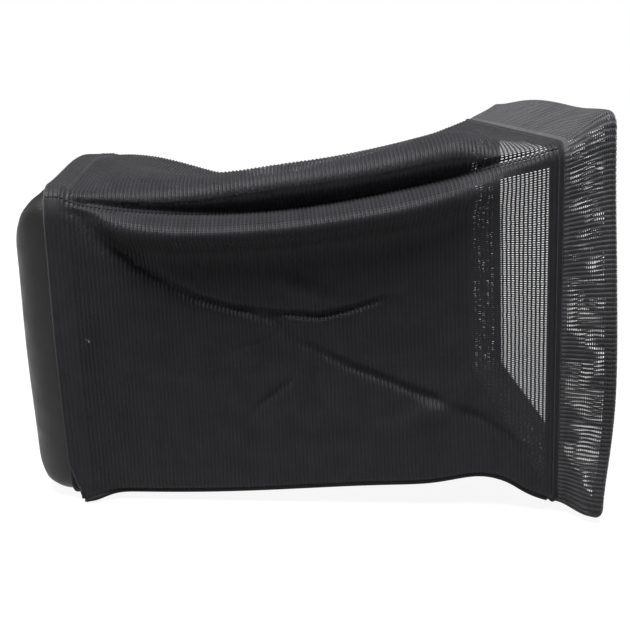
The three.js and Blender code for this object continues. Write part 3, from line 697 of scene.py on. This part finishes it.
def collar_layer(piece, outer):
    radius = TUBE_RADIUS + COLLAR_STANDOFF
    gap = CLOTH if outer else -CLOTH

    def sway(u, v):
        """The two layers don't lie course on course: the lining wanders by half a mesh."""
        if outer:
            return u, v
        turn = 2 * math.pi * u
        shift = np.sin(17 * turn) + 0.7 * np.sin(41 * turn + 7 * v + 1) + 0.5 * np.sin(83 * turn + 3)
        aside = np.sin(13 * turn + 9 * v) + 0.6 * np.sin(31 * turn - 14 * v)
        middle = np.clip(4 * v * (1 - v), 0, 1)
        return u + LINING_ASIDE * aside, v + LINING_SHIFT * shift * middle

    def place(u, v):
        return drape(*sway(u, v)) + bent(u, v)

    def drape(u, v):
        root, ny, nh = round_point(seam_outline, seam_plane, u, gap, SEAM_BEAD)
        hub, _, _ = round_point(tube_outline, mouth_plane, u, 0.0, 0.0)
        outward = ny[..., None] * mouth_plane.across + nh[..., None] * mouth_plane.up
        back = root - hub
        d_out = (back * outward).sum(-1)
        d_along = back @ mouth_plane.normal
        reach = np.hypot(d_out, d_along)
        facing = np.arctan2(d_out, d_along) % (2 * math.pi)
        leave = facing - np.arccos(radius / reach) * (1 if outer else -1)
        leave = leave if outer else leave - 2 * math.pi
        t = np.clip(v / COLLAR_FLAT_SHARE, 0, 1)[..., None]
        wrapped = np.clip((v - COLLAR_FLAT_SHARE) / (1 - COLLAR_FLAT_SHARE), 0, 1)
        angle = leave + wrapped * (math.radians(COLLAR_END_ANGLE) - leave)
        tip = hub + radius * (np.sin(angle)[..., None] * outward
                              + np.cos(angle)[..., None] * mouth_plane.normal)
        return np.where(v[..., None] < COLLAR_FLAT_SHARE, root * (1 - t) + tip * t, tip)

    def normal(u, v):
        step = 1e-3
        du = place(u + step, v) - place(u - step, v)
        dv = place(u, np.clip(v + step, 0, 1)) - place(u, np.clip(v - step, 0, 1))
        n = np.cross(du, dv)
        n /= np.maximum(np.linalg.norm(n, axis=-1, keepdims=True), 1e-9)
        return n if outer else -n

    perimeter = sum(tube_outline.length(name) for name in NAMES)
    depth = COLLAR_LENGTH + COLLAR_TURN
    ribs = round(perimeter / COLLAR_RIB_PITCH)
    obj = knit(piece, COLLAR_CLOTH, place, normal, ribs, COLLAR_COURSES, perimeter, depth,
               (2, 0), wrap=True, thread=COLLAR_THREAD_SHARE)
    dress(obj, "ribbed_mesh", "collar_sleeve")
    return obj, perimeter * MM, depth * MM


collar_outer, collar_w, collar_d = collar_layer("collar_outer", True)
collar_lining, lining_w, lining_d = collar_layer("collar_lining", False)


# Sweeps: seams, hem and tube


def sweep(piece, sections, material, closed_path):
    """sections is an array of stations by section points by 3, each section a closed ring."""
    stations, sides, _ = sections.shape
    points = sections.reshape(-1, 3)
    spans = stations if closed_path else stations - 1
    i, j = np.meshgrid(np.arange(spans), np.arange(sides), indexing="ij")
    i, j = i.ravel(), j.ravel()
    k, m = (i + 1) % stations, (j + 1) % sides
    quads = np.stack([i * sides + j, k * sides + j, k * sides + m, i * sides + m], -1)
    if not closed_path:
        half = sides // 2
        caps = []
        for start in (0, (stations - 1) * sides):
            for j in range(half - 1):
                caps.append([start + j, start + j + 1, start + sides - 2 - j, start + sides - 1 - j])
        quads = np.concatenate([quads, np.array(caps)])
    run = np.repeat(np.arange(stations), sides) * 4.0
    uvs = np.stack([run, np.tile(np.arange(sides), stations) * 2.0], -1)
    obj = make_object(piece, points, quads, uvs, material)
    mesh = bmesh.new()
    mesh.from_mesh(obj.data)
    bmesh.ops.recalc_face_normals(mesh, faces=mesh.faces)
    mesh.to_mesh(obj.data)
    mesh.free()
    return obj


def ring_of(outline, plane, count, section):
    """A section of (out, along) points carried round an outline."""
    share = np.arange(count) / count
    rows = []
    for out, a in section:
        p, _, _ = round_point(outline, plane, share, np.full(count, out), np.full(count, a))
        rows.append(p)
    return np.stack(rows, 1)


def circle(radius, count, out=0.0, a=0.0):
    turn = np.arange(count) / count * 2 * math.pi
    return [(out + radius * math.cos(t), a + radius * math.sin(t)) for t in turn]


TUBE_STATIONS = 260
tube_bend = bent(np.arange(TUBE_STATIONS) / TUBE_STATIONS, np.ones(TUBE_STATIONS))[:, None, :]
tube_rings = ring_of(tube_outline, mouth_plane, TUBE_STATIONS, circle(TUBE_RADIUS, 20)) + tube_bend
mouth_tube = sweep("mouth_tube", tube_rings, STEEL, True)
dress(mouth_tube, "frame_steel", "mouth_frame")

half = HEM_THICKNESS / 2
hem_section = [
    (-half, 0.8), (-half, HEM_BAND - 0.8), (-1, HEM_BAND), (0.6, HEM_BAND), (half, HEM_BAND - 1),
    (half + 0.3, HEM_BAND / 2), (half, 1.2), (0.8, 0), (-0.8, 0),
]
hem = sweep("hem", ring_of(hem_outline, hem_plane, 320, hem_section), TAPE, True)
dress(hem, "binding", "hem_band")

seam_ring_section = circle(SEAM_BEAD, 10)
seam_ring = sweep("seam_ring", ring_of(seam_outline, seam_plane, 300, seam_ring_section), TAPE, True)
dress(seam_ring, "binding", "collar_seam")


def long_seam(name, piece, node):
    u = np.linspace(-0.004 if name == "near" else -HEM_COVER, 0.99, 130)
    centre = long_edge(name, np.maximum(u, 0)) + over_hem(name, u, np.zeros_like(u))
    centre = centre + slack(name, u, np.zeros_like(u)) + groove(name, u, np.zeros_like(u))
    radius = (TUCKED_ROLL if name == "top" else SEAM_ROLL) * (0.6 + 0.4 * smooth((u - u[0]) / 0.03))
    _, _, ny, nh = seam_outline.point(name, 0.0)
    inward = np.array([0.0, -float(ny), -float(nh)])
    across = np.cross([1.0, 0.0, 0.0], inward)
    turns = np.arange(10) / 10 * 2 * math.pi
    rows = [centre + (inward * math.cos(t) + across * math.sin(t)) * radius[:, None] for t in turns]
    obj = sweep(piece, np.stack(rows, 1), TAPE, False)
    dress(obj, "binding", node)


def slab(piece, points, inward, thickness, material, pitch):
    """A closed thin sheet from a grid of points, thickened along inward."""
    columns, rows = points.shape[:2]
    layers = np.concatenate([points.reshape(-1, 3), (points + inward * thickness).reshape(-1, 3)])
    front = grid_quads(columns, rows, lambda i, j: i >= 0)
    size = columns * rows
    edge = [(i, 0) for i in range(columns)] + [(columns - 1, j) for j in range(1, rows)]
    edge += [(i, rows - 1) for i in range(columns - 2, -1, -1)]
    edge += [(0, j) for j in range(rows - 2, 0, -1)]
    ring = np.array([i * rows + j for i, j in edge])
    after = np.roll(ring, -1)
    side = np.stack([ring, after, after + size, ring + size], -1)
    quads = np.concatenate([front, front[:, ::-1] + size, side])
    i, j = np.meshgrid(np.arange(columns), np.arange(rows), indexing="ij")
    uvs = np.stack([i * pitch, j * pitch], -1).reshape(-1, 2)
    return make_object(piece, layers, quads, np.concatenate([uvs, uvs]), material)


def allowance(piece, name, u_range, v_range, counts, offset):
    """Seam allowance that lies against the inside of a wall."""
    us, vs = np.linspace(*u_range, counts[0]), np.linspace(*v_range, counts[1])
    u, v = np.meshgrid(us, vs, indexing="ij")
    inward = -wall_normal(name, u, v)
    points = wall(name, u, v) + inward * offset
    dress(slab(piece, points, inward, ALLOWANCE_THICKNESS, TAPE, 3), "binding")


allowance("allowance_near_top", "near", (0, 1), (0.957, 0.997), (120, 7), 1.4)
allowance("allowance_near_bottom", "bottom", (0, 1), (0.972, 0.998), (120, 7), 1.4)
allowance("allowance_far_top", "far", (0, 1), (0.003, 0.04), (120, 7), 1.4)
allowance("allowance_far_bottom", "far", (0, 1), (0.955, 0.999), (120, 7), 1.4)
for side_name in NAMES:
    allowance("allowance_collar_" + side_name, side_name, (0.983, 1.004), (0, 1), (7, 90), 1.6)

for side_name, node in (
    ("near", "seam_near_bottom"), ("top", "seam_near_top"),
    ("far", "seam_far_top"), ("bottom", "seam_far_bottom"),
):
    long_seam(side_name, node + "_roll", node)

# The cut edge of the cloth, as a cord round the hem
edge_v = np.linspace(0, 1, 90, endpoint=False)
edge_u = np.full_like(edge_v, -HEM_COVER)
edge_path = np.concatenate([wall(name, edge_u, trimmed(name, edge_u, edge_v)) for name in NAMES])
edge_out = np.concatenate([wall_normal(name, edge_u + 0.002, edge_v) for name in NAMES])
edge_rows = [edge_path + edge_out * (0.3 + 0.75 * math.cos(t)) + hem_plane.normal * 0.75 * math.sin(t)
             for t in np.arange(6) / 3 * math.pi]
dress(sweep("cloth_edge", np.stack(edge_rows, 1), EDGE_YARN, True), "binding")

# A speck of lint caught on the near wall
LINT_RADIUS = 0.22
lint_t = np.linspace(0, 1, 12)
lint_u = 0.034 + 0.004 * np.sin(5 * lint_t)
lint_v = 0.545 + 0.012 * lint_t
lint_lift = (1.3 + 0.5 * np.sin(7 * lint_t))[:, None]
lint_path = wall("near", lint_u, lint_v) + wall_normal("near", lint_u, lint_v) * lint_lift
lint_rows = [lint_path + LINT_RADIUS * np.array([math.cos(t), math.sin(t), 0.0])
             for t in np.arange(6) / 3 * math.pi]
dress(sweep("lint", np.stack(lint_rows, 1), LINT, False), "binding")


# Moulded tray


def tray_ring(inset, a, count):
    drop = TRAY_TOP_DROP * ((TRAY_RIM - a) / (TRAY_RIM + TRAY_DEPTH)) ** 2
    outline = Outline(HEM_WIDTH - 2 * inset, HEM_HEIGHT - drop - 2 * inset,
                      max(HEM_CORNER - inset, TRAY_END_CORNER), HEM_CROWN, (HEM_HEIGHT - drop) / 2)
    return side_ring(outline, a, count)


def side_ring(outline, a, count):
    """Points round an outline, with the same number on each side so that rings match."""
    v = np.arange(count) / count
    rows = [hem_plane.at(*outline.point(name, v)[:2], a) for name in NAMES]
    return np.concatenate(rows)


PANEL_INSET = HEM_THICKNESS / 2 + CLEARANCE + TRAY_EDGE_RADIUS + PANEL_MARGIN


def panel_ring(grow, a, count):
    outline = Outline(HEM_WIDTH - 2 * PANEL_INSET + 2 * grow, HEM_HEIGHT - 2 * PANEL_INSET + 2 * grow,
                      PANEL_CORNER + grow, FLAT, HEM_HEIGHT / 2)
    return side_ring(outline, a, count)


def tray_profile(thickness, count):
    """Rings of one skin of the tray from the rim to the floor of the pressed panel."""
    end = -TRAY_DEPTH + thickness
    radius = TRAY_EDGE_RADIUS - thickness
    inset = HEM_THICKNESS / 2 + CLEARANCE + thickness

    def drafted(a):
        return inset + math.tan(math.radians(TRAY_DRAFT)) * (TRAY_RIM - a)

    rings = [tray_ring(drafted(a), a, count) for a in (TRAY_RIM - 0.6, 6, 0)]
    for turn in np.linspace(0, math.pi / 2, 15):
        a = end + radius * (1 - math.sin(turn))
        rings.append(tray_ring(drafted(a) + radius * (1 - math.cos(turn)), a, count))
    floor = end + PANEL_DEPTH
    slope = 0.4 * PANEL_DEPTH
    rings.append(panel_ring(14 + thickness, end, count))
    rings.append(panel_ring(1.2 + thickness, end, count))
    rings.append(panel_ring(thickness + 0.2, end + 0.35, count))
    rings.append(panel_ring(thickness - 0.4, end + 1.2, count))
    rings.append(panel_ring(thickness - slope + 0.4, floor - 1.0, count))
    rings.append(panel_ring(thickness - slope - 0.3, floor - 0.3, count))
    rings.append(panel_ring(thickness - slope - 1.4, floor, count))
    rings.append(panel_ring(thickness - slope - 20, floor, count))
    return rings


def block(width, height, depth, y, h, a, soft):
    """Corners of a bar on the end face, softened along its long edges."""
    mesh = bmesh.new()
    bmesh.ops.create_cube(mesh, size=1)
    for corner in mesh.verts:
        corner.co = Vector((corner.co.x * depth, corner.co.y * width, corner.co.z * height))
    bmesh.ops.bevel(mesh, geom=list(mesh.edges), offset=soft, segments=3, affect="EDGES", profile=0.5)
    for corner in mesh.verts:
        place = hem_plane.at(y + corner.co.y, h + corner.co.z, a + corner.co.x)
        corner.co = Vector(place * MM)
    return mesh


def tray():
    count = 48
    outer = tray_profile(0.0, count)
    inner = tray_profile(TRAY_WALL, count)
    lip = HEM_THICKNESS / 2 + CLEARANCE
    top = [tray_ring(lip + 0.5, TRAY_RIM, count), tray_ring(lip + TRAY_WALL - 0.5, TRAY_RIM, count)]
    rings = np.stack(outer[::-1] + top + inner)
    total, around = rings.shape[:2]
    i, j = np.meshgrid(np.arange(total - 1), np.arange(around), indexing="ij")
    i, j = i.ravel(), j.ravel()
    k = (j + 1) % around
    quads = np.stack([i * around + j, (i + 1) * around + j, (i + 1) * around + k, i * around + k], -1)
    points = rings.reshape(-1, 3)
    uvs = points[:, 1:]
    obj = make_object("tray", points, quads, uvs, PLASTIC)
    mesh = bmesh.new()
    mesh.from_mesh(obj.data)
    mesh.verts.ensure_lookup_table()
    for start in (0, (total - 1) * around):
        mesh.faces.new([mesh.verts[start + n] for n in range(around)])
    bmesh.ops.recalc_face_normals(mesh, faces=mesh.faces)
    middle = HEM_HEIGHT / 2
    width, height = HEM_WIDTH - 2 * PANEL_INSET, HEM_HEIGHT - 2 * PANEL_INSET
    floor = -TRAY_DEPTH + PANEL_DEPTH
    parts = []
    for n in range(GRIP_RIBS):
        y = (n - (GRIP_RIBS - 1) / 2) * GRIP_RIB_PITCH
        depth = GRIP_RIB_HEIGHT + TRAY_WALL / 2
        parts.append(block(GRIP_RIB_WIDTH, height - 2 * GRIP_RIB_INSET, depth, y, middle,
                           floor - GRIP_RIB_HEIGHT + depth / 2, 1.2))
    depth = INNER_RIB_HEIGHT + TRAY_WALL / 2
    seat = floor + TRAY_WALL / 2 + depth / 2
    for n in range(INNER_RIBS_UPRIGHT):
        y = ((n + 0.5) / INNER_RIBS_UPRIGHT - 0.5) * width
        reach = height + 2 * INNER_RIB_REACH
        parts.append(block(INNER_RIB_THICKNESS, reach, depth, y, middle, seat, 0.5))
    for n in range(INNER_RIBS_LEVEL):
        h = middle + ((n + 0.5) / INNER_RIBS_LEVEL - 0.5) * height
        reach = width + 2 * INNER_RIB_REACH
        parts.append(block(reach, INNER_RIB_THICKNESS, depth, 0, h, seat, 0.5))
    for part in parts:
        spare = bpy.data.meshes.new("part")
        part.to_mesh(spare)
        part.free()
        mesh.from_mesh(spare)
        bpy.data.meshes.remove(spare)
    for face in mesh.faces:
        face.smooth = True
    mesh.to_mesh(obj.data)
    mesh.free()
    obj.data.set_sharp_from_angle(angle=math.radians(TRAY_SHARP_ANGLE))
    return obj


dress(tray(), "tray_plastic", "base_tray")


# Floor, light and camera


def emitting_for_camera(nodes, links, surface, near, far):
    """Adds the white that camera and mirror rays see, beside the bag and far from it."""
    path = nodes.new("ShaderNodeLightPath")
    seen = nodes.new("ShaderNodeMath")
    seen.operation = "MAXIMUM"
    links.new(path.outputs["Is Camera Ray"], seen.inputs[0])
    links.new(path.outputs["Is Glossy Ray"], seen.inputs[1])
    more = nodes.new("ShaderNodeMath")
    more.operation = "MAXIMUM"
    links.new(seen.outputs[0], more.inputs[0])
    links.new(path.outputs["Is Transmission Ray"], more.inputs[1])
    scaled = nodes.new("ShaderNodeMath")
    scaled.operation = "MULTIPLY"
    place = nodes.new("ShaderNodeNewGeometry")
    away = nodes.new("ShaderNodeVectorMath")
    away.operation = "LENGTH"
    links.new(place.outputs["Position"], away.inputs[0])
    whiter = nodes.new("ShaderNodeMapRange")
    whiter.inputs["From Min"].default_value = 0.45
    whiter.inputs["From Max"].default_value = 1.2
    whiter.inputs["To Min"].default_value = near
    whiter.inputs["To Max"].default_value = far
    links.new(away.outputs["Value"], whiter.inputs["Value"])
    links.new(whiter.outputs["Result"], scaled.inputs[1])
    links.new(more.outputs[0], scaled.inputs[0])
    links.new(scaled.outputs[0], surface.inputs["Emission Strength"])
    surface.inputs["Emission Color"].default_value = (1, 1, 1, 1)


floor_material, nodes, links, surface = shader("floor", (0.12, 0.12, 0.12), 0.9)
emitting_for_camera(nodes, links, surface, 0.92, 1.02)
bpy.ops.mesh.primitive_plane_add(size=30, location=(0, 0, -0.5 * MM))
floor = bpy.context.object
floor.name = "floor"
floor.data.materials.append(floor_material)

world = bpy.data.worlds.new("studio")
bpy.context.scene.world = world
world.use_nodes = True
nodes, links = world.node_tree.nodes, world.node_tree.links
background = nodes["Background"]
background.inputs["Color"].default_value = (1, 1, 1, 1)
path = nodes.new("ShaderNodeLightPath")
rays = nodes.new("ShaderNodeMath")
rays.operation = "MAXIMUM"
links.new(path.outputs["Is Camera Ray"], rays.inputs[0])
links.new(path.outputs["Is Transmission Ray"], rays.inputs[1])
level = nodes.new("ShaderNodeMapRange")
level.inputs["To Min"].default_value = 0.03
level.inputs["To Max"].default_value = 1.0
links.new(rays.outputs[0], level.inputs["Value"])
links.new(level.outputs["Result"], background.inputs["Strength"])


def area_light(name, place, target, size, power):
    light = bpy.data.lights.new(name, "AREA")
    light.shape = "DISK"
    light.size = size
    light.energy = power
    obj = bpy.data.objects.new(name, light)
    obj.location = place
    obj.rotation_euler = (Vector(target) - Vector(place)).to_track_quat("-Z", "Y").to_euler()
    bpy.context.scene.collection.objects.link(obj)


area_light("key", (-0.2, -0.65, 2.3), (0, 0, 0.15), 1.5, 124)
area_light("left", (-2.0, 0.8, 0.8), (-0.3, 0, 0.15), 1.3, 4)

# The camera stands where a fit to the corners of the bag puts it.
FOCAL_PIXELS = 850
PHOTO_PIXELS = 630
CAMERA_PLACE = (MOUTH_X - 322.4, MIDDLE_Y - 995.0, 424.0)
PITCH, YAW, ROLL = math.radians(15.58), math.radians(1.94), math.radians(-1.04)

camera_data = bpy.data.cameras.new("camera")
camera_data.sensor_width = 36
camera_data.sensor_fit = "HORIZONTAL"
camera_data.lens = FOCAL_PIXELS / PHOTO_PIXELS * 36
camera = bpy.data.objects.new("camera", camera_data)
forward = Vector((math.sin(YAW) * math.cos(PITCH), math.cos(YAW) * math.cos(PITCH), -math.sin(PITCH)))
right = Vector((math.cos(YAW), -math.sin(YAW), 0))
down = forward.cross(right)
right, down = (
    math.cos(ROLL) * right + math.sin(ROLL) * down,
    -math.sin(ROLL) * right + math.cos(ROLL) * down,
)
basis = Matrix((right, -down, -forward)).transposed().to_4x4()
camera.matrix_world = Matrix.Translation(Vector(CAMERA_PLACE) * MM) @ basis
bpy.context.scene.collection.objects.link(camera)
bpy.context.scene.camera = camera
bpy.context.scene.view_settings.view_transform = "Standard"
